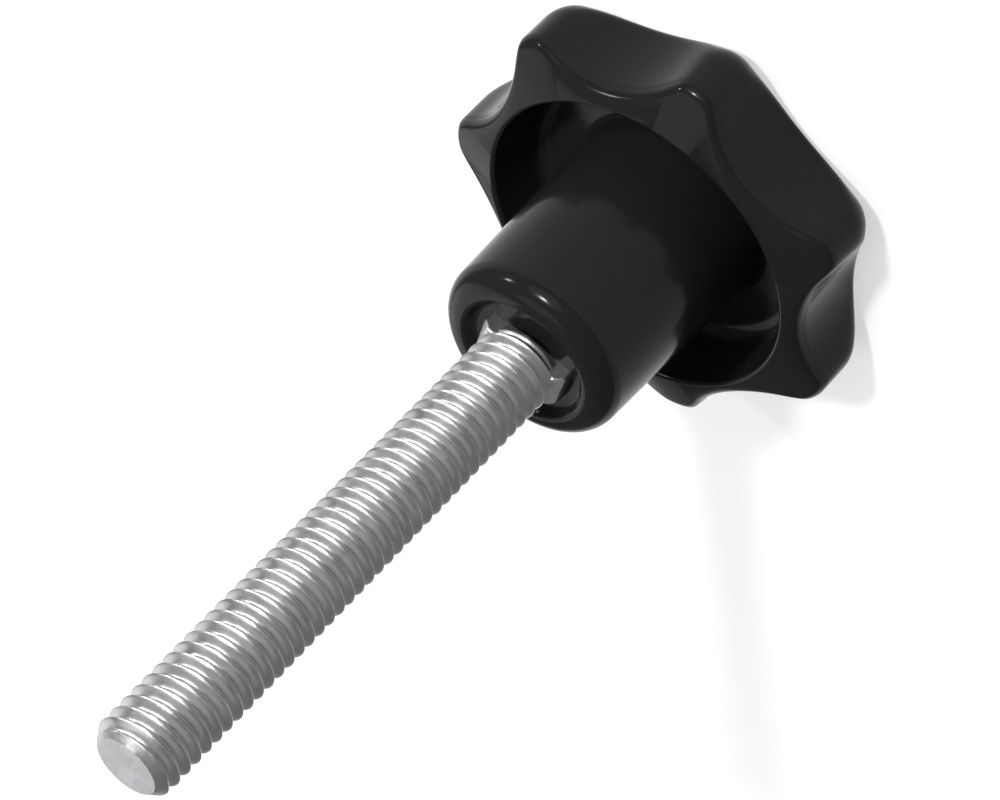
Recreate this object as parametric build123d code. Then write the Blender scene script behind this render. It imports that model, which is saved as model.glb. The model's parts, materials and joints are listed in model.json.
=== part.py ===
from build123d import *

import os
from math import cos, pi, sin, tan

# Star knob with seven lobes and a moulded-in M6 stud, standing on its head.
# The origin is the middle of the flat top of the head, and +Z runs up the stud.
# Driving dimensions, in millimetres and degrees.

# Head: a rounded heptagon whose sides are scooped out between the lobes
lobe_count = 7
lobe_tip_radius = 16.0       # axis to the tip of a lobe
lobe_nose_radius = 2.9       # rounding of a lobe, seen from above
top_edge_radius = 2.9        # soft edge round the flat top
mouth_height = 7.4           # top face to the edge of the hollow's mouth
scoop_depth = 1.75           # sink of a scoop under the straight side, at the mouth's height
scoop_top_depth = 1.3        # the same at the top face, where the soft edge lies further in
scoop_edge_bevel = 0.6       # bevel between a scoop and the lobes beside it
rim_land = 1.25              # narrowest width of the rim, between the mouth and a scoop
rim_slope = 17.5             # fall of the rim's underside, from the mouth to the lobes

# Hollow underside and the hub that stands in it
top_wall = 2.4               # plastic between the flat top and the hollow's floor
hollow_draft = 5.0           # lean of the hollow's outer wall
hollow_corner = 1.2          # bevel between the hollow's floor and its outer wall
mouth_bevel = 0.25           # bevel of the mouth's edge
knob_height = 20.0           # top face to the hub's end
hub_end_radius = 6.85
hub_draft = 1.6
hub_lip_radius = 1.75        # outer rounding of the hub's end
dish_radius = 4.8            # shallow dish in the hub's end, round the stud
dish_depth = 0.7
dish_draft = 32.0

# Stud: M6, rolled thread at its major diameter, plain blank at its root
thread_diameter = 6.0
thread_pitch = 1.0
stud_reach = 40.0            # hub's end to the stud's tip
neck_height = 0.7            # plain blank that shows above the hub's end
tip_chamfer = 0.75
shank_depth = 11.0           # blank held inside the hub
pinch_turn = 11.0            # turn of the pinched ears from the first lobe
pinch_thickness = 3.1        # across the two flats pressed into the blank
pinch_depth = 2.4            # hub's end down to the lower end of the flats
pinch_run = 1.15             # height in which a flat runs out to the full blank
ear_reach = 3.4              # axis to the outer face of an ear
ear_rise = 0.1               # top of that face above the hub's end
ear_slope = 45.0             # slope of an ear from there back to the thread
ear_bevel = 0.3

# Sizes that follow from them
degree = pi / 180
side_reach = lobe_nose_radius + (lobe_tip_radius - lobe_nose_radius) * cos(pi / lobe_count)
scoop_lean = (scoop_depth - scoop_top_depth) / mouth_height
scoop_half_width = (lobe_tip_radius - lobe_nose_radius) * sin(pi / lobe_count)
scoop_radius = (scoop_half_width**2 + scoop_depth**2) / (2 * scoop_depth)
mouth_radius = side_reach - scoop_depth - rim_land
hub_root_radius = hub_end_radius + (knob_height - top_wall) * tan(hub_draft * degree)
thread_radius = thread_diameter / 2
neck_radius = thread_radius - 0.325 * thread_pitch
thread_start = knob_height + neck_height
stud_tip = knob_height + stud_reach
pinch_low = knob_height - pinch_depth
bite = 2.0                   # how far a cutting tool runs past the surface that it cuts


def revolved(*points):
    """Solid of revolution from the (radius, height) corners of its half section."""
    return revolve(section(*points), Axis.Z)


def section(*points):
    """Flat half section in the XZ plane from its (radius, height) corners."""
    return make_face(Polyline(*[(radius, 0, height) for radius, height in points], close=True))


def heptagon_blank():
    """Rounded heptagon with a soft edge round its flat top, which is its lowest face."""
    outline = RegularPolygon(side_reach, lobe_count, major_radius=False)
    outline = fillet(outline.vertices(), lobe_nose_radius)
    blank = extrude(outline, mouth_height)
    return fillet(blank.faces().sort_by(Axis.Z)[0].edges(), top_edge_radius)


def scoop():
    """Upright cone, as wide as a side at the mouth, that runs out in the soft top edge."""
    axis_reach = side_reach - scoop_depth + scoop_radius
    low_radius = scoop_radius - (mouth_height + bite) * scoop_lean
    high_radius = scoop_radius + bite * scoop_lean
    height = mouth_height + 2 * bite
    cone = Cone(low_radius, high_radius, height, align=(Align.CENTER, Align.CENTER, Align.MIN))
    return Pos(axis_reach, 0, -bite) * cone


def scooped_head():
    """Blank with a scoop in each side and a bevel between the scoops and the lobes."""
    head = heptagon_blank()
    for side in range(lobe_count):
        head -= Rot(0, 0, (side + 0.5) * 360 / lobe_count) * scoop()
    borders = [
        edge
        for face in head.faces().filter_by(GeomType.CONE)
        for edge in face.edges()
        if edge.center().Z < mouth_height - 0.01
    ]
    return chamfer(borders, scoop_edge_bevel)


def above_rim():
    """Everything above the rim's sloping underside, to be cut away outside the mouth."""
    outside = lobe_tip_radius + bite
    fall = (outside - mouth_radius) * tan(rim_slope * degree)
    top = mouth_height + bite
    return revolved(
        (mouth_radius, mouth_height), (outside, mouth_height - fall), (outside, top), (mouth_radius, top)
    )


def hollow():
    """Space under the head, with a leaning wall, a bevelled floor corner and a bevelled mouth."""
    lean = tan(hollow_draft * degree)
    floor_radius = mouth_radius - (mouth_height - top_wall) * lean
    return revolved(
        (0, top_wall),
        (floor_radius - hollow_corner, top_wall),
        (floor_radius + hollow_corner * lean, top_wall + hollow_corner),
        (mouth_radius - mouth_bevel * lean, mouth_height - mouth_bevel),
        (mouth_radius + mouth_bevel, mouth_height),
        (mouth_radius + mouth_bevel, mouth_height + bite),
        (0, mouth_height + bite),
    )


def hub():
    """Tapered hub with a rounded lip and a shallow dish in its end."""
    dish_floor = knob_height - dish_depth
    profile = section(
        (0, 0),
        (hub_root_radius, 0),
        (hub_root_radius, top_wall),
        (hub_end_radius, knob_height),
        (dish_radius, knob_height),
        (dish_radius - dish_depth * tan(dish_draft * degree), dish_floor),
        (0, dish_floor),
    )
    lip = profile.vertices().sort_by_distance((hub_end_radius, 0, knob_height))[0]
    return revolve(fillet(lip, hub_lip_radius), Axis.Z)


def knob_body(stud):
    """One-piece moulding: head, hollow underside and hub, shaped round the stud."""
    return scooped_head() - above_rim() - hollow() + hub() - stud


def pressed_flats():
    """Tools that press a flat into each side of the blank and run out at both ends."""
    flat = pinch_thickness / 2
    outside = thread_radius + bite
    spread = (outside - flat) * pinch_run / (neck_radius - flat)
    high = thread_start - pinch_run
    profile = make_face(Polyline(
        (flat, pinch_low), (flat, high), (outside, high + spread), (outside, pinch_low - spread), close=True
    ))
    tool = extrude(Plane.YZ * profile, outside, both=True)
    return tool + mirror(tool, Plane.XZ)


def ears():
    """Metal pushed out at both sides of the flats, sloping back to the start of the thread."""
    shoulder = knob_height + ear_rise
    shoulder_in = ear_reach - (thread_start - shoulder) / tan(ear_slope * degree)
    profile = make_face(Polyline(
        (-ear_reach, pinch_low),
        (ear_reach, pinch_low),
        (ear_reach, shoulder),
        (shoulder_in, thread_start),
        (-shoulder_in, thread_start),
        (-ear_reach, shoulder),
        close=True,
    ))
    bar = extrude(Plane.XZ * profile, pinch_thickness / 2, both=True)
    return chamfer(bar.edges().filter_by(Axis.Z), ear_bevel)


def threaded_stud():
    """Stud with its plain blank below, pinched at the hub's end so that it cannot turn or pull out."""
    shank_end = knob_height - shank_depth
    blank = revolved(
        (0, shank_end),
        (neck_radius, shank_end),
        (neck_radius, thread_start),
        (thread_radius, thread_start),
        (thread_radius, stud_tip - tip_chamfer),
        (thread_radius - tip_chamfer, stud_tip),
        (0, stud_tip),
    )
    return Rot(0, 0, pinch_turn) * (blank - pressed_flats() + ears())


os.makedirs("parts", exist_ok=True)
stud = threaded_stud()
body = knob_body(stud)
export_step(stud, "parts/threaded_stud.step")
export_step(body, "parts/knob_body.step")
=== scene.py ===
"""Star knob with a moulded-in threaded stud, dressed and lit for a studio photograph."""

import json
import logging
import math
from dataclasses import dataclass, field
from enum import Enum

import bmesh
import bpy
from mathutils import Matrix, Vector


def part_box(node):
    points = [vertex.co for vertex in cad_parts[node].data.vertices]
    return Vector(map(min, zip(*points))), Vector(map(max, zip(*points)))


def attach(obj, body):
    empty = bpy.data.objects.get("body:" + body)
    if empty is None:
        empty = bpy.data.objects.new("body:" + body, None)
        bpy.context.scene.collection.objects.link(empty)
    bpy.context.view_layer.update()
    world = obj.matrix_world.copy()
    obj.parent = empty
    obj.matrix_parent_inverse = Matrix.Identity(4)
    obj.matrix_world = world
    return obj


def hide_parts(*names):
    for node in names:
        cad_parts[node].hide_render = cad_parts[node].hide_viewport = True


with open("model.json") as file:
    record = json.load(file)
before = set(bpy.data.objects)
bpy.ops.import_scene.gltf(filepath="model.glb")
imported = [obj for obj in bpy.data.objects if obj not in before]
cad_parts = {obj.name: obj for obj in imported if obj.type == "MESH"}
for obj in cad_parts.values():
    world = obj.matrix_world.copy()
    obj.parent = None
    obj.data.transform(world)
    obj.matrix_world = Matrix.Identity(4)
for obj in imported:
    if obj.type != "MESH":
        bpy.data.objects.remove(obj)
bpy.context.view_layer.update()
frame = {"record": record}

LOG = logging.getLogger("star_knob")

# Metres in a millimetre
METRES = 0.001

# Points nearer to each other than this many millimetres count as one
TOUCHING = 1e-5

# Sockets of a Mix node for colours, which go by number because its names also stand for other kinds of value
MIX_SHARE, MIX_FIRST, MIX_SECOND = 0, 6, 7
MIXED_COLOUR = 2


def mount(name: str) -> dict:
    """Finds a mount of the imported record.

    Args:
        name: The mount's name.

    Returns:
        The mount's entry.
    """
    return next(entry for entry in frame["record"]["mounts"] if entry["name"] == name)


def node_span(node: str, axis: str) -> tuple[float, float]:
    """Gives how far a node of the frame reaches along one axis.

    Args:
        node: The node's name.
        axis: "X", "Y" or "Z".

    Returns:
        Its lowest and highest place, in millimetres.
    """
    low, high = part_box(node)
    place = "XYZ".index(axis)
    return low[place] / METRES, high[place] / METRES


def blended_least(first: float, second: float, blend: float) -> float:
    """Takes the smaller of two lengths and rounds the change from one to the other.

    Args:
        first: One length.
        second: The other length.
        blend: Difference below which the two run into each other.

    Returns:
        The smaller length, or a little less where both are nearly equal.
    """
    share = max(blend - abs(first - second), 0.0) / blend
    return min(first, second) - share * share * blend / 4


def ramp(value: float, low: float, high: float) -> float:
    """Rises smoothly from 0 at low to 1 at high.

    Args:
        value: Where to read the ramp.
        low: Where it leaves 0.
        high: Where it reaches 1.

    Returns:
        A share from 0 to 1.
    """
    share = min(max((value - low) / (high - low), 0.0), 1.0)
    return share * share * (3 - 2 * share)


def loop_edges(
    mesh: bmesh.types.BMesh, tag: bmesh.types.BMLayerItem, row: int
) -> list[bmesh.types.BMEdge]:
    """Collects the closed ring of edges that one corner of a turned profile has made.

    Args:
        mesh: The turned mesh.
        tag: Vertex layer that holds the number of the profile's corner.
        row: The corner's number.

    Returns:
        The ring's edges.
    """
    return [edge for edge in mesh.edges if edge.verts[0][tag] == row and edge.verts[1][tag] == row]


def round_over(
    mesh: bmesh.types.BMesh, edges: list[bmesh.types.BMEdge], width: float, segments: int
) -> None:
    """Rounds edges.

    Args:
        mesh: The mesh that holds them.
        edges: The edges.
        width: How far the rounding reaches on either side, in millimetres.
        segments: Steps of the rounding.
    """
    bmesh.ops.bevel(
        mesh, geom=edges, offset=width, offset_type="OFFSET", affect="EDGES",
        segments=segments, profile=0.5, clamp_overlap=True, material=-1,
    )


def finished_piece(
    mesh: bmesh.types.BMesh, name: str, crisp_angle: float = 30.0
) -> bpy.types.Object:
    """Turns a mesh in millimetres into a smooth piece in metres, with its object at the origin.

    Args:
        mesh: The mesh, which is freed.
        name: The piece's name.
        crisp_angle: Edges that turn by more than this many degrees stay crisp.

    Returns:
        The piece.
    """
    bmesh.ops.recalc_face_normals(mesh, faces=mesh.faces[:])
    bmesh.ops.scale(mesh, vec=(METRES, METRES, METRES), verts=mesh.verts[:])
    for face in mesh.faces:
        face.smooth = True
    data = bpy.data.meshes.new(name)
    mesh.to_mesh(data)
    mesh.free()
    data.set_sharp_from_angle(angle=math.radians(crisp_angle))
    piece = bpy.data.objects.new(name, data)
    bpy.context.scene.collection.objects.link(piece)
    weighted = piece.modifiers.new("even_gloss", "WEIGHTED_NORMAL")
    weighted.keep_sharp = True
    return piece


# Finishes


def linear(code: str) -> tuple[float, float, float, float]:
    """Turns a hex colour into linear values.

    Args:
        code: Colour such as "#1a2b3c", as it looks on a screen.

    Returns:
        Linear red, green and blue, and an alpha of 1.
    """
    values = [int(code[place:place + 2], 16) / 255 for place in (1, 3, 5)]
    red, green, blue = (v / 12.92 if v <= 0.04045 else ((v + 0.055) / 1.055) ** 2.4 for v in values)
    return red, green, blue, 1.0


def add_node(
    owner: bpy.types.Material | bpy.types.World, kind: str, settings: dict, links: dict
) -> bpy.types.Node:
    """Adds one shader node.

    Args:
        owner: The material or world whose tree gets the node.
        kind: The node's type, such as "ShaderNodeBump".
        settings: Values by attribute name, or by input name or number.
        links: Output sockets by the name or number of the input that they feed.

    Returns:
        The node.
    """
    tree = owner.node_tree
    node = tree.nodes.new(kind)
    for key, value in settings.items():
        if isinstance(key, str) and hasattr(node, key):
            setattr(node, key, value)
        else:
            node.inputs[key].default_value = value
    for key, socket in links.items():
        tree.links.new(socket, node.inputs[key])
    return node


def empty_material(name: str) -> bpy.types.Material:
    """Makes a material with an empty node tree.

    Args:
        name: The material's name.

    Returns:
        The material.
    """
    material = bpy.data.materials.new(name)
    material.use_nodes = True
    material.node_tree.nodes.clear()
    return material


@dataclass(frozen=True)
class GlossBlackMoulding:
    """Black thermoset plastic, pressed in a polished mould: a wet gloss over a deep black.

    The polished tool leaves almost no texture, only long shallow waves where the plastic shrank, which
    bend the reflections a little, and a faint haze that softens the smallest lights. The gloss level is
    low for such plastic, because the real knob shows its lamps as small points and hardly mirrors the
    white room. Lengths are in millimetres.
    """

    colour: str = "#1e1e1f"
    ior: float = 1.45
    gloss_level: float = 0.1
    roughness: float = 0.14
    haze_spread: float = 0.05
    haze_patch: float = 3.0
    wave_length: float = 6.0
    wave_height: float = 0.012

    def build(self) -> bpy.types.Material:
        """Builds the shader.

        Returns:
            The material.
        """
        material = empty_material("gloss_black_moulding")
        place = add_node(material, "ShaderNodeTexCoord", {}, {})
        haze = add_node(
            material, "ShaderNodeTexNoise",
            {"Scale": 1 / (self.haze_patch * METRES), "Detail": 3.0, "Roughness": 0.6},
            {"Vector": place.outputs["Object"]},
        )
        gloss = add_node(
            material, "ShaderNodeMapRange",
            {
                "To Min": self.roughness - self.haze_spread / 2,
                "To Max": self.roughness + self.haze_spread / 2,
            },
            {"Value": haze.outputs["Fac"]},
        )
        wave = add_node(
            material, "ShaderNodeTexNoise",
            {"Scale": 1 / (self.wave_length * METRES), "Detail": 1.0, "Roughness": 0.4},
            {"Vector": place.outputs["Object"]},
        )
        bump = add_node(
            material, "ShaderNodeBump",
            {"Strength": 1.0, "Distance": self.wave_height * METRES},
            {"Height": wave.outputs["Fac"]},
        )
        shader = add_node(
            material, "ShaderNodeBsdfPrincipled",
            {"Base Color": linear(self.colour), "IOR": self.ior, "Specular IOR Level": self.gloss_level},
            {"Roughness": gloss.outputs["Result"], "Normal": bump.outputs["Normal"]},
        )
        add_node(material, "ShaderNodeOutputMaterial", {}, {"Surface": shader.outputs["BSDF"]})
        return material


@dataclass(frozen=True)
class BrightZincSteel:
    """Rolled steel thread under bright zinc plate: a pale grey metal with fine marks along the thread.

    The rolling dies drag fine lines round the stud, which break the highlights into streaks, and leave
    small dents. The plating is a little uneven, so its colour and gloss change in patches. Lengths are in
    millimetres.
    """

    colour: str = "#cfcfd0"
    dull_colour: str = "#ababad"
    roughness: float = 0.38
    patch_size: float = 1.4
    patch_spread: float = 0.16
    # Nearly all values of the noise lie in this part of its range, so the gloss is spread over it alone
    patch_range: tuple[float, float] = (0.3, 0.7)
    # The real lines lie a few hundredths of a millimetre apart, too fine to show, and are drawn coarser
    line_spacing: float = 0.12
    line_length: float = 1.0
    line_height: float = 0.005
    # The noise has finer levels, so its lines lie closer together than its cells are wide, by this share
    line_share: float = 0.35
    dent_size: float = 0.6
    dent_height: float = 0.02

    def build(self) -> bpy.types.Material:
        """Builds the shader.

        Returns:
            The material.
        """
        material = empty_material("bright_zinc_steel")
        place = add_node(material, "ShaderNodeTexCoord", {}, {})
        across = self.line_share / (self.line_length * METRES)
        upwards = self.line_share / (self.line_spacing * METRES)
        drawn = add_node(
            material, "ShaderNodeMapping", {"Scale": (across, across, upwards)},
            {"Vector": place.outputs["Object"]},
        )
        lines = add_node(
            material, "ShaderNodeTexNoise", {"Scale": 1.0, "Detail": 3.0, "Roughness": 0.6},
            {"Vector": drawn.outputs["Vector"]},
        )
        patches = add_node(
            material, "ShaderNodeTexNoise",
            {"Scale": 1 / (self.patch_size * METRES), "Detail": 4.0, "Roughness": 0.6},
            {"Vector": place.outputs["Object"]},
        )
        dents = add_node(
            material, "ShaderNodeTexNoise",
            {"Scale": 1 / (self.dent_size * METRES), "Detail": 2.0, "Roughness": 0.5},
            {"Vector": place.outputs["Object"]},
        )
        tone = add_node(
            material, "ShaderNodeMix",
            {"data_type": "RGBA", MIX_FIRST: linear(self.dull_colour), MIX_SECOND: linear(self.colour)},
            {MIX_SHARE: patches.outputs["Fac"]},
        )
        gloss = add_node(
            material, "ShaderNodeMapRange",
            {
                "From Min": self.patch_range[0], "From Max": self.patch_range[1],
                "To Min": self.roughness - self.patch_spread / 2,
                "To Max": self.roughness + self.patch_spread / 2,
            },
            {"Value": patches.outputs["Fac"]},
        )
        dented = add_node(
            material, "ShaderNodeBump", {"Strength": 1.0, "Distance": self.dent_height * METRES},
            {"Height": dents.outputs["Fac"]},
        )
        lined = add_node(
            material, "ShaderNodeBump", {"Strength": 1.0, "Distance": self.line_height * METRES},
            {"Height": lines.outputs["Fac"], "Normal": dented.outputs["Normal"]},
        )
        shader = add_node(
            material, "ShaderNodeBsdfPrincipled", {"Metallic": 1.0},
            {
                "Base Color": tone.outputs[MIXED_COLOUR],
                "Roughness": gloss.outputs["Result"],
                "Normal": lined.outputs["Normal"],
            },
        )
        add_node(material, "ShaderNodeOutputMaterial", {}, {"Surface": shader.outputs["BSDF"]})
        return material


@dataclass(frozen=True)
class PaleSweep:
    """Matt pale paper under the knob, that takes its shadow and reads as white to the camera.

    The lift is a glow that only the camera, gloss and glass see, so that it lights no matt surface.
    """

    colour: str = "#c8c8c8"
    glow_colour: str = "#ffffff"
    lift: float = 0.56

    def build(self) -> bpy.types.Material:
        """Builds the shader.

        Returns:
            The material.
        """
        material = empty_material("pale_sweep")
        path = add_node(material, "ShaderNodeLightPath", {}, {})
        seen = add_node(
            material, "ShaderNodeMath", {"operation": "MAXIMUM"},
            {0: path.outputs["Is Camera Ray"], 1: path.outputs["Is Glossy Ray"]},
        )
        shown = add_node(
            material, "ShaderNodeMath", {"operation": "MAXIMUM"},
            {0: seen.outputs[0], 1: path.outputs["Is Transmission Ray"]},
        )
        strength = add_node(
            material, "ShaderNodeMath", {"operation": "MULTIPLY", 1: self.lift}, {0: shown.outputs[0]},
        )
        paper = add_node(material, "ShaderNodeBsdfDiffuse", {"Color": linear(self.colour)}, {})
        glow = add_node(
            material, "ShaderNodeEmission", {"Color": linear(self.glow_colour)},
            {"Strength": strength.outputs[0]},
        )
        both = add_node(
            material, "ShaderNodeAddShader", {}, {0: paper.outputs["BSDF"], 1: glow.outputs["Emission"]},
        )
        add_node(material, "ShaderNodeOutputMaterial", {}, {"Surface": both.outputs["Shader"]})
        return material


# Knob


@dataclass
class LobedHead:
    """Outside of the head: a rounded heptagon with a soft top edge and a scoop in each side.

    All lengths are in millimetres. Heights are measured from the flat top, on which the knob stands.
    """

    lobe_count: int = 7
    tip_radius: float = field(default_factory=lambda: node_span("knob_body", "X")[1])
    nose_radius: float = 2.9
    top_edge_radius: float = 2.9
    mouth_height: float = 7.4
    scoop_depth: float = 1.75
    scoop_top_depth: float = 1.3
    scoop_blend: float = 0.6
    rim_land: float = 1.25
    rim_slope: float = 17.5
    rim_rounding: float = 1.0
    edge_passes: int = 8

    @property
    def half_turn(self) -> float:
        """Angle from the middle of a side to the lobe beside it."""
        return math.pi / self.lobe_count

    @property
    def side_reach(self) -> float:
        """Distance from the axis to a straight side."""
        return self.nose_radius + (self.tip_radius - self.nose_radius) * math.cos(self.half_turn)

    @property
    def side_half(self) -> float:
        """Half the length of a straight side."""
        return (self.tip_radius - self.nose_radius) * math.sin(self.half_turn)

    @property
    def mouth_radius(self) -> float:
        """Radius of the hollow's mouth."""
        return self.side_reach - self.scoop_depth - self.rim_land

    def from_side(self, angle: float) -> float:
        """Folds a direction into one side of the head.

        Args:
            angle: Direction round the axis; a lobe lies at 0.

        Returns:
            Angle to the middle of the nearest side, without its sign.
        """
        turn = 2 * self.half_turn
        return abs((angle % turn) - self.half_turn)

    def outline(self, angle: float, inset: float) -> float:
        """Reaches out to the rounded heptagon.

        Args:
            angle: Direction round the axis.
            inset: How far the heptagon is drawn in, side by side.

        Returns:
            Distance from the axis.
        """
        off = self.from_side(angle)
        reach = self.side_reach - inset
        if reach * math.tan(off) <= self.side_half:
            return reach / math.cos(off)
        centre = self.tip_radius - self.nose_radius
        nose = self.nose_radius - inset
        turn = self.half_turn - off
        return centre * math.cos(turn) + math.sqrt(max(nose**2 - (centre * math.sin(turn)) ** 2, 0.0))

    def wall(self, angle: float, height: float, inset: float = 0.0) -> float:
        """Reaches out to the side of the head, scoops included.

        Args:
            angle: Direction round the axis.
            height: Height above the flat top.
            inset: How far the soft top edge draws the side in at that height.

        Returns:
            Distance from the axis.
        """
        plain = self.outline(angle, inset)
        full = (self.side_half**2 + self.scoop_depth**2) / (2 * self.scoop_depth)
        lean = (self.scoop_depth - self.scoop_top_depth) / self.mouth_height
        radius = full - lean * (self.mouth_height - height)
        centre = self.side_reach - self.scoop_depth + full
        off = self.from_side(angle)
        inside = radius**2 - (centre * math.sin(off)) ** 2
        if inside <= 0:
            return plain
        return blended_least(plain, centre * math.cos(off) - math.sqrt(inside), self.scoop_blend)

    def rim_edge(self, angle: float) -> float:
        """Finds where the side wall meets the sloping underside of the rim, nearer with each pass.

        Args:
            angle: Direction round the axis.

        Returns:
            Height above the flat top.
        """
        slope = math.tan(math.radians(self.rim_slope))
        height = self.mouth_height
        for _ in range(self.edge_passes):
            height = self.mouth_height - (self.wall(angle, height) - self.mouth_radius) * slope
        return height

    def crease(self, angle: float, share: float) -> tuple[float, float]:
        """Rounds the edge between the side wall and the rim's underside.

        Args:
            angle: Direction round the axis.
            share: 0 on the side wall to 1 on the underside.

        Returns:
            Distance from the axis, and height above the flat top.
        """
        edge = self.rim_edge(angle)
        turn = math.radians(90 - self.rim_slope)
        radius = self.wall(angle, edge) - self.rim_rounding * (1 - math.cos(share * turn))
        return radius, edge + self.rim_rounding * (math.sin(share * turn) - math.tan(turn / 2))


class Course(Enum):
    """How a corner of the turned profile is drawn out to the lobes."""

    TOP = "flat top"
    EDGE = "soft top edge"
    WALL = "side wall"
    RIM = "outer edge of the rim"
    ROUND = "stays round"


@dataclass(frozen=True)
class Corner:
    """Corner of the turned profile, in millimetres, with its share of the way along its course."""

    radius: float
    height: float
    course: Course = Course.ROUND
    share: float = 0.0
    rounding: float = 0.0


@dataclass
class KnobMoulding:
    """One-piece moulding: lobed head, hollow underside and hub. Lengths are in millimetres."""

    head: LobedHead
    top_wall: float = 2.4
    hollow_draft: float = 5.0
    hollow_corner: float = 1.2
    mouth_rounding: float = 0.3
    hub_height: float = field(default_factory=lambda: node_span("knob_body", "Z")[1])
    hub_end_radius: float = 6.85
    hub_draft: float = 1.6
    hub_root_rounding: float = 0.5
    hub_lip: float = 1.7
    dish_radius: float = 4.8
    dish_depth: float = 0.7
    dish_draft: float = 32.0
    dish_rounding: float = 0.2
    # Fineness of the mesh, where a wide rounding gets more steps than a narrow one
    facets_per_lobe: int = 60
    top_ring: float = 0.5
    wall_steps: int = 20
    edge_steps: int = 14
    rim_steps: int = 8
    wide_rounding: float = 1.0
    wide_steps: int = 10
    narrow_steps: int = 5
    crisp_angle: float = 60.0

    def head_corners(self) -> list[Corner]:
        """Lists the corners from the middle of the flat top to the rim's outer edge.

        They are those of a plain round head, which draw_out then moves out to the lobes.

        Returns:
            The corners, in order.
        """
        reach, edge = self.head.side_reach, self.head.top_edge_radius
        ring = Corner(self.top_ring * (reach - edge), 0.0, Course.TOP, self.top_ring)
        corners = [Corner(0.0, 0.0), ring]
        for step in range(self.edge_steps + 1):
            share = step / self.edge_steps
            lean = share * math.pi / 2
            inset = edge * (1 - math.sin(lean))
            corners.append(Corner(reach - inset, edge * (1 - math.cos(lean)), Course.EDGE, share))
        top = self.head.mouth_height
        for step in range(1, self.wall_steps + 1):
            share = step / (self.wall_steps + 1)
            corners.append(Corner(reach, edge + share * (top - edge), Course.WALL, share))
        for step in range(self.rim_steps + 1):
            share = step / self.rim_steps
            corners.append(Corner(reach - share, top, Course.RIM, share))
        return corners

    def underside_corners(self) -> list[Corner]:
        """Lists the corners from the hollow's mouth to the middle of the hub's dish.

        Returns:
            The corners, in order.
        """
        mouth, height = self.head.mouth_radius, self.head.mouth_height
        floor = mouth - (height - self.top_wall) * math.tan(math.radians(self.hollow_draft))
        taper = (self.hub_height - self.top_wall) * math.tan(math.radians(self.hub_draft))
        root = self.hub_end_radius + taper
        dish_floor = self.dish_radius - self.dish_depth * math.tan(math.radians(self.dish_draft))
        return [
            Corner(mouth, height, rounding=self.mouth_rounding),
            Corner(floor, self.top_wall, rounding=self.hollow_corner),
            Corner(root, self.top_wall, rounding=self.hub_root_rounding),
            Corner(self.hub_end_radius, self.hub_height, rounding=self.hub_lip),
            Corner(self.dish_radius, self.hub_height, rounding=self.dish_rounding),
            Corner(dish_floor, self.hub_height - self.dish_depth, rounding=self.dish_rounding),
            Corner(0.0, self.hub_height - self.dish_depth),
        ]

    def draw_out(self, vert: bmesh.types.BMVert, corner: Corner) -> None:
        """Moves a vertex of the turned head out to the lobes.

        Args:
            vert: The vertex.
            corner: The profile's corner that made it.
        """
        head = self.head
        angle = math.atan2(vert.co.y, vert.co.x)
        height = corner.height
        if corner.course is Course.TOP:
            radius = corner.share * head.outline(angle, head.top_edge_radius)
        elif corner.course is Course.EDGE:
            inset = head.top_edge_radius * (1 - math.sin(corner.share * math.pi / 2))
            radius = head.wall(angle, height, inset)
        elif corner.course is Course.WALL:
            low = head.top_edge_radius
            height = low + corner.share * (head.crease(angle, 0.0)[1] - low)
            radius = head.wall(angle, height)
        elif corner.course is Course.RIM:
            radius, height = head.crease(angle, corner.share)
        else:
            return
        vert.co = (radius * math.cos(angle), radius * math.sin(angle), height)

    def build(self) -> bpy.types.Object:
        """Turns the profile, draws the head out to its lobes and rounds the edges.

        Returns:
            The piece.
        """
        corners = self.head_corners() + self.underside_corners()
        mesh = bmesh.new()
        tag = mesh.verts.layers.int.new("corner")
        chain = [mesh.verts.new((corner.radius, 0.0, corner.height)) for corner in corners]
        for index, vert in enumerate(chain):
            vert[tag] = index
        for first, second in zip(chain, chain[1:]):
            mesh.edges.new((first, second))
        bmesh.ops.spin(
            mesh, geom=mesh.verts[:] + mesh.edges[:], cent=(0, 0, 0), axis=(0, 0, 1), dvec=(0, 0, 0),
            angle=2 * math.pi, steps=self.facets_per_lobe * self.head.lobe_count, use_merge=True,
            use_duplicate=False,
        )
        bmesh.ops.remove_doubles(mesh, verts=mesh.verts[:], dist=TOUCHING)
        for vert in mesh.verts:
            self.draw_out(vert, corners[vert[tag]])
        # All rings are found first, so that each is still the sharp ring of its corner
        rings = [
            (loop_edges(mesh, tag, index), corner.rounding)
            for index, corner in enumerate(corners) if corner.rounding
        ]
        for edges, rounding in rings:
            steps = self.wide_steps if rounding > self.wide_rounding else self.narrow_steps
            round_over(mesh, edges, rounding, steps)
        return finished_piece(mesh, "star_knob_moulding", self.crisp_angle)

    def dress(self, piece: bpy.types.Object, finish: GlossBlackMoulding) -> None:
        """Gives the moulding its finish and its place in the frame.

        Args:
            piece: The moulding.
            finish: Its finish.
        """
        piece.data.materials.append(finish.build())
        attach(piece, "root")
        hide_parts("knob_body")


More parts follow.
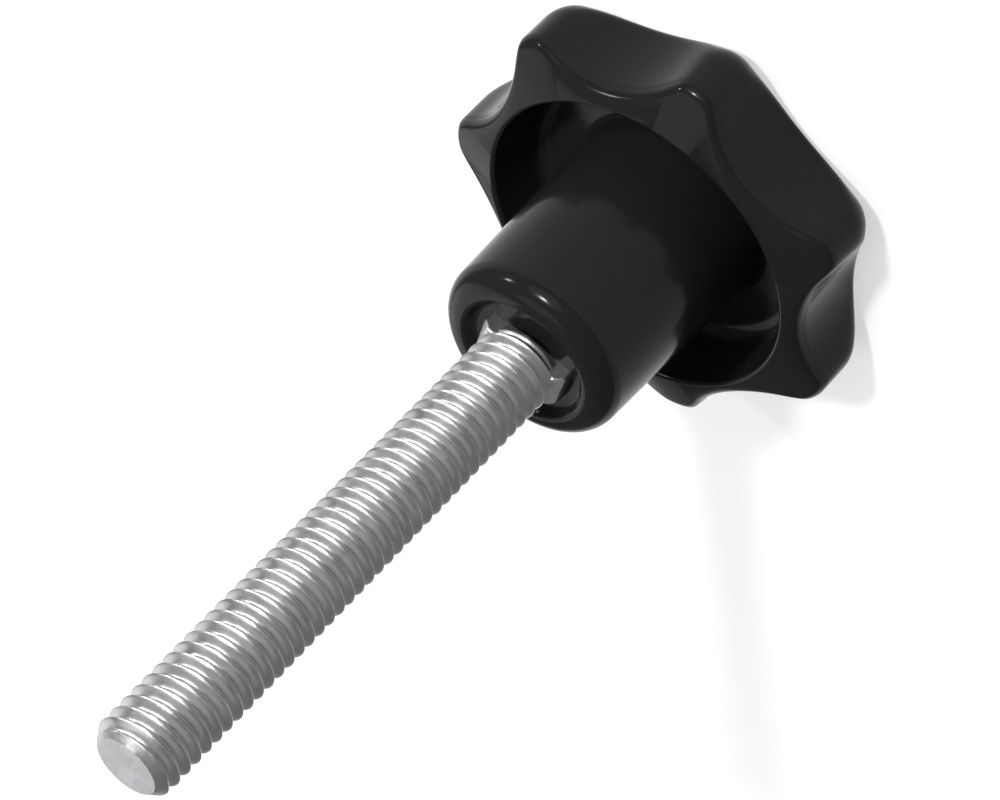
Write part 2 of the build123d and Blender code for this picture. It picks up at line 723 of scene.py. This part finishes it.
@dataclass
class ThreadedStud:
    """Rolled stud, pinched where it enters the hub. Lengths are in millimetres, angles in degrees."""

    crest_radius: float = field(default_factory=lambda: mount("stud")["dims"]["r_mm"])
    pitch: float = 1.0
    flank_angle: float = 60.0
    crest_flat: float = 0.125
    crest_blend: float = 0.22
    root_blend: float = 0.24
    root_radius: float = 2.387
    blank_radius: float = 2.675
    foot: float = field(default_factory=lambda: node_span("threaded_stud", "Z")[0])
    tip: float = field(default_factory=lambda: node_span("threaded_stud", "Z")[1])
    tip_chamfer: float = 0.75
    hub_height: float = field(default_factory=lambda: node_span("knob_body", "Z")[1])
    neck_height: float = 0.7
    # Height in which the thread comes to its full depth, up to the top of the neck
    thread_run_in: float = 0.8
    pinch_turn: float = 11.0
    pinch_thickness: float = 3.1
    pinch_depth: float = 2.4
    # Height in which a flat runs out at its lower end. The step at its upper end is far shorter than on
    # the solid, because the real stud shows bright metal right down to the hub.
    pinch_run: float = 1.15
    neck_step: float = 0.35
    ear_reach: float = 3.4
    ear_rise: float = 0.1
    ear_slope: float = 45.0
    ear_rounding: float = 0.25
    # How far the ears lie inside the flats, so that no two faces share a plane
    ear_sink: float = 0.02
    # How far past the flats the mesh is cut and pressed
    cut_below: float = 1.5
    cut_above: float = 0.3
    press_above: float = 0.1
    # Copied turns of thread lie at most this far apart where they meet
    turn_gap: float = 1e-4
    spare_turns: int = 2
    # Fineness of the mesh
    steps_per_turn: int = 72
    tooth_steps: int = 18
    ear_steps: int = 4
    crisp_angle: float = 40.0

    @property
    def thread_start(self) -> float:
        """Height at which the thread begins."""
        return self.hub_height + self.neck_height

    def tooth(self) -> list[tuple[float, float]]:
        """Draws one pitch of the rolled thread, root to root, with straight flanks and soft corners.

        Returns:
            Distance from the axis and height of each point.
        """
        points = []
        for step in range(self.tooth_steps + 1):
            height = self.pitch * step / self.tooth_steps
            beside = abs(height - self.pitch / 2) - self.crest_flat / 2
            flank = self.crest_radius - beside / math.tan(math.radians(self.flank_angle / 2))
            crest = blended_least(self.crest_radius, flank, self.crest_blend)
            # The larger of two radii is the least of their opposites
            radius = -blended_least(-self.root_radius, -crest, self.root_blend)
            points.append((radius, height))
        return points

    def wound_thread(self) -> bmesh.types.BMesh:
        """Winds the tooth up the whole stud and cuts both ends off square.

        Returns:
            The closed mesh, with the thread still at full depth from end to end.
        """
        mesh = bmesh.new()
        low = self.foot - self.spare_turns * self.pitch
        chain = [mesh.verts.new((radius, 0.0, low + height)) for radius, height in self.tooth()]
        for first, second in zip(chain, chain[1:]):
            mesh.edges.new((first, second))
        bmesh.ops.spin(
            mesh, geom=mesh.verts[:] + mesh.edges[:], cent=(0, 0, 0), axis=(0, 0, 1),
            dvec=(0, 0, self.pitch / self.steps_per_turn), angle=2 * math.pi,
            steps=self.steps_per_turn, use_merge=False, use_duplicate=False,
        )
        turn = mesh.verts[:] + mesh.edges[:] + mesh.faces[:]
        turns = math.ceil((self.tip - low) / self.pitch) + self.spare_turns
        for level in range(1, turns):
            copied = bmesh.ops.duplicate(mesh, geom=turn)["geom"]
            verts = [item for item in copied if isinstance(item, bmesh.types.BMVert)]
            bmesh.ops.translate(mesh, vec=(0, 0, level * self.pitch), verts=verts)
        bmesh.ops.remove_doubles(mesh, verts=mesh.verts[:], dist=self.turn_gap)
        for height, facing in ((self.foot, -1), (self.tip, 1)):
            cut = bmesh.ops.bisect_plane(
                mesh, geom=mesh.verts[:] + mesh.edges[:] + mesh.faces[:], dist=TOUCHING,
                plane_co=(0, 0, height), plane_no=(0, 0, facing), clear_outer=True,
            )
            rim = [item for item in cut["geom_cut"] if isinstance(item, bmesh.types.BMEdge)]
            bmesh.ops.edgeloop_fill(mesh, edges=rim)
        return mesh

    def flat_reach(self, height: float) -> float:
        """Gives how far the blank reaches across the pinched flats.

        Args:
            height: Height above the flat top.

        Returns:
            Distance from the axis.
        """
        flat = self.pinch_thickness / 2
        low = self.hub_height - self.pinch_depth
        high = self.thread_start - self.pinch_run
        share = max((low - height) / self.pinch_run, (height - high) / self.neck_step, 0.0)
        return flat + (self.blank_radius - flat) * share

    def shape_ends(self, mesh: bmesh.types.BMesh) -> None:
        """Fades the thread out into the plain blank and chamfers the tip.

        Args:
            mesh: The wound thread.
        """
        begin = self.thread_start - self.thread_run_in
        for vert in mesh.verts:
            radius = math.hypot(vert.co.x, vert.co.y)
            depth = ramp(vert.co.z, begin, self.thread_start)
            wanted = self.blank_radius + (radius - self.blank_radius) * depth
            wanted = min(wanted, self.crest_radius - self.tip_chamfer + self.tip - vert.co.z)
            vert.co.x *= wanted / radius
            vert.co.y *= wanted / radius

    def press_flats(self, mesh: bmesh.types.BMesh) -> None:
        """Presses the two flats into the blank, with their edges and run-outs cut clean.

        Args:
            mesh: The stud, whose flats face along Y.
        """
        flat = self.pinch_thickness / 2
        high = self.thread_start - self.pinch_run
        rise = Vector((0, self.neck_step, -(self.blank_radius - flat))).normalized()
        bottom, top = high - self.cut_below, self.thread_start + self.cut_above
        for side in (-1, 1):
            for normal in (Vector((0, 1, 0)), rise):
                near = [face for face in mesh.faces if bottom < face.calc_center_median().z < top]
                # Dictionaries keep their order, as sets do not, so every run cuts the mesh in the same one
                edges = dict.fromkeys(edge for face in near for edge in face.edges)
                verts = dict.fromkeys(vert for face in near for vert in face.verts)
                bmesh.ops.bisect_plane(
                    mesh, geom=[*verts, *edges, *near], dist=TOUCHING,
                    plane_co=(0, side * flat, high), plane_no=(0, side * normal.y, normal.z),
                )
        for vert in mesh.verts:
            if vert.co.z < self.thread_start + self.press_above:
                reach = self.flat_reach(vert.co.z)
                vert.co.y = min(max(vert.co.y, -reach), reach)

    def add_ears(self, mesh: bmesh.types.BMesh) -> None:
        """Adds the metal that the pinch pushed out at both sides, sloping back to the thread.

        Args:
            mesh: The stud, whose ears reach along X.
        """
        low = self.hub_height - self.pinch_depth
        top = self.thread_start
        made = bmesh.ops.create_cube(mesh, size=1.0)
        verts = made["verts"]
        width = self.pinch_thickness - 2 * self.ear_sink
        bmesh.ops.scale(mesh, vec=(2 * self.ear_reach, width, top - low), verts=verts)
        bmesh.ops.translate(mesh, vec=(0, 0, (top + low) / 2), verts=verts)
        lean = math.radians(self.ear_slope)
        for side in (-1, 1):
            bar = self.linked(verts)
            cut = bmesh.ops.bisect_plane(
                mesh, geom=bar, dist=TOUCHING,
                plane_co=(side * self.ear_reach, 0, self.hub_height + self.ear_rise),
                plane_no=(side * math.sin(lean), 0, math.cos(lean)), clear_outer=True,
            )
            rim = [item for item in cut["geom_cut"] if isinstance(item, bmesh.types.BMEdge)]
            verts = [vert for vert in bar if isinstance(vert, bmesh.types.BMVert) and vert.is_valid]
            verts += [vert for edge in rim for vert in edge.verts]
            bmesh.ops.edgeloop_fill(mesh, edges=rim)
        edges = [item for item in self.linked(verts) if isinstance(item, bmesh.types.BMEdge)]
        round_over(mesh, edges, self.ear_rounding, self.ear_steps)

    @staticmethod
    def linked(verts: list[bmesh.types.BMVert]) -> list:
        """Gathers the vertices, edges and faces of the shell that the vertices belong to.

        Args:
            verts: Some vertices of one shell.

        Returns:
            Everything in that shell.
        """
        found, waiting = {}, list(verts)
        while waiting:
            vert = waiting.pop()
            if vert not in found:
                found[vert] = None
                waiting += [edge.other_vert(vert) for edge in vert.link_edges]
        edges = dict.fromkeys(edge for vert in found for edge in vert.link_edges)
        faces = dict.fromkeys(face for vert in found for face in vert.link_faces)
        return [*found, *edges, *faces]

    def build(self) -> bpy.types.Object:
        """Winds the thread, shapes its ends, pinches the neck and turns it to its place.

        Returns:
            The piece.
        """
        mesh = self.wound_thread()
        self.shape_ends(mesh)
        self.press_flats(mesh)
        self.add_ears(mesh)
        turn = Matrix.Rotation(math.radians(self.pinch_turn), 3, "Z")
        bmesh.ops.rotate(mesh, cent=(0, 0, 0), matrix=turn, verts=mesh.verts[:])
        return finished_piece(mesh, "zinc_plated_stud", self.crisp_angle)

    def dress(self, piece: bpy.types.Object, finish: BrightZincSteel) -> None:
        """Gives the stud its finish and its place in the frame.

        Args:
            piece: The stud.
            finish: Its finish.
        """
        piece.data.materials.append(finish.build())
        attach(piece, "root")
        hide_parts("threaded_stud")


# Studio


@dataclass(frozen=True)
class SoftLight:
    """Round studio light, placed by its direction from the point that it faces, in millimetres."""

    name: str
    direction: tuple[float, float, float]
    size: float
    radiance: float
    distance: float = 420.0

    def build(self, target: Vector) -> None:
        """Adds the light, facing its target.

        Args:
            target: Point that it faces, in metres.
        """
        data = bpy.data.lights.new(self.name, "AREA")
        data.shape = "DISK"
        data.size = self.size * METRES
        # A flat light gives off pi times its area times its radiance
        data.energy = self.radiance * math.pi**2 * (self.size * METRES / 2) ** 2
        lamp = bpy.data.objects.new(self.name, data)
        toward = Vector(self.direction).normalized()
        lamp.location = target + toward * self.distance * METRES
        lamp.rotation_euler = toward.to_track_quat("Z", "Y").to_euler()
        lamp.visible_camera = False
        bpy.context.scene.collection.objects.link(lamp)


@dataclass
class Studio:
    """Pale sweep, soft light all round and a few lamps.

    The two small lamps stand where the photograph's highlights on the hub's lip and on the rim's crease
    put them. The three wide and weak ones lay soft reflections on the gloss, from above, from behind and
    from the front.
    """

    sweep_size: float = 3000.0
    room_colour: str = "#ffffff"
    room_level: float = 0.24
    lamps: tuple[SoftLight, ...] = (
        SoftLight("front_lamp", (-0.39, 0.59, 0.70), size=48.0, radiance=210.0),
        SoftLight("side_lamp", (-0.86, 0.17, 0.50), size=42.0, radiance=90.0),
        SoftLight("top_softbox", (-0.18, -0.10, 0.98), size=240.0, radiance=1.7),
        SoftLight("back_softbox", (-0.36, -0.82, 0.44), size=360.0, radiance=1.3),
        SoftLight("front_softbox", (-0.40, 0.72, 0.56), size=300.0, radiance=1.6),
    )

    def build(self, target: Vector) -> None:
        """Builds the sweep, the room and the lamps.

        Args:
            target: Point that the lamps face, in metres.
        """
        mesh = bmesh.new()
        bmesh.ops.create_grid(mesh, x_segments=1, y_segments=1, size=self.sweep_size / 2)
        sweep = finished_piece(mesh, "pale_sweep")
        sweep.data.materials.append(PaleSweep().build())
        self.light_room()
        for lamp in self.lamps:
            lamp.build(target)

    def light_room(self) -> None:
        """Gives the room an even grey light."""
        world = bpy.data.worlds.new("studio_room")
        world.use_nodes = True
        world.node_tree.nodes.clear()
        light = add_node(
            world, "ShaderNodeBackground",
            {"Color": linear(self.room_colour), "Strength": self.room_level}, {},
        )
        add_node(world, "ShaderNodeOutputWorld", {}, {"Surface": light.outputs["Background"]})
        bpy.context.scene.world = world
        bpy.context.scene.view_settings.view_transform = "Standard"


@dataclass
class PhotoCamera:
    """Long lens above the hub's end, rolled until the stud points down to the left.

    Lengths are in millimetres, angles in degrees.
    """

    azimuth: float = 88.752
    elevation: float = 31.197
    roll: float = -135.863
    distance: float = 247.42
    aim: tuple[float, float, float] = (0.758, -1.474, 22.407)
    lens: float = 136.08
    sensor: float = 36.0
    nearest: float = 10.0

    def build(self) -> Vector:
        """Adds the camera and makes it the scene's own.

        Returns:
            The point that it aims at, in metres.
        """
        turn, rise = math.radians(self.azimuth), math.radians(self.elevation)
        back = Vector((math.cos(rise) * math.cos(turn), math.cos(rise) * math.sin(turn), math.sin(rise)))
        aim = Vector(self.aim) * METRES
        data = bpy.data.cameras.new("photo_camera")
        data.lens = self.lens
        data.sensor_width = self.sensor
        data.clip_start = self.nearest * METRES
        camera = bpy.data.objects.new("photo_camera", data)
        level = back.to_track_quat("Z", "Y").to_matrix().to_4x4()
        camera.matrix_world = (
            Matrix.Translation(aim + back * self.distance * METRES)
            @ level
            @ Matrix.Rotation(math.radians(self.roll), 4, "Z")
        )
        bpy.context.scene.collection.objects.link(camera)
        bpy.context.scene.camera = camera
        return aim


def report(piece: bpy.types.Object) -> None:
    """Logs a piece's name and number of faces.

    Args:
        piece: The piece.
    """
    LOG.info("%s: %d faces", piece.name, len(piece.data.polygons))


def main() -> None:
    """Builds the knob, the stud and the studio."""
    logging.basicConfig(level=logging.INFO, format="%(message)s")
    aim = PhotoCamera().build()
    moulding = KnobMoulding(LobedHead())
    body = moulding.build()
    moulding.dress(body, GlossBlackMoulding())
    report(body)
    rolled = ThreadedStud()
    stud = rolled.build()
    rolled.dress(stud, BrightZincSteel())
    report(stud)
    Studio().build(aim)


if __name__ == "__main__":
    main()
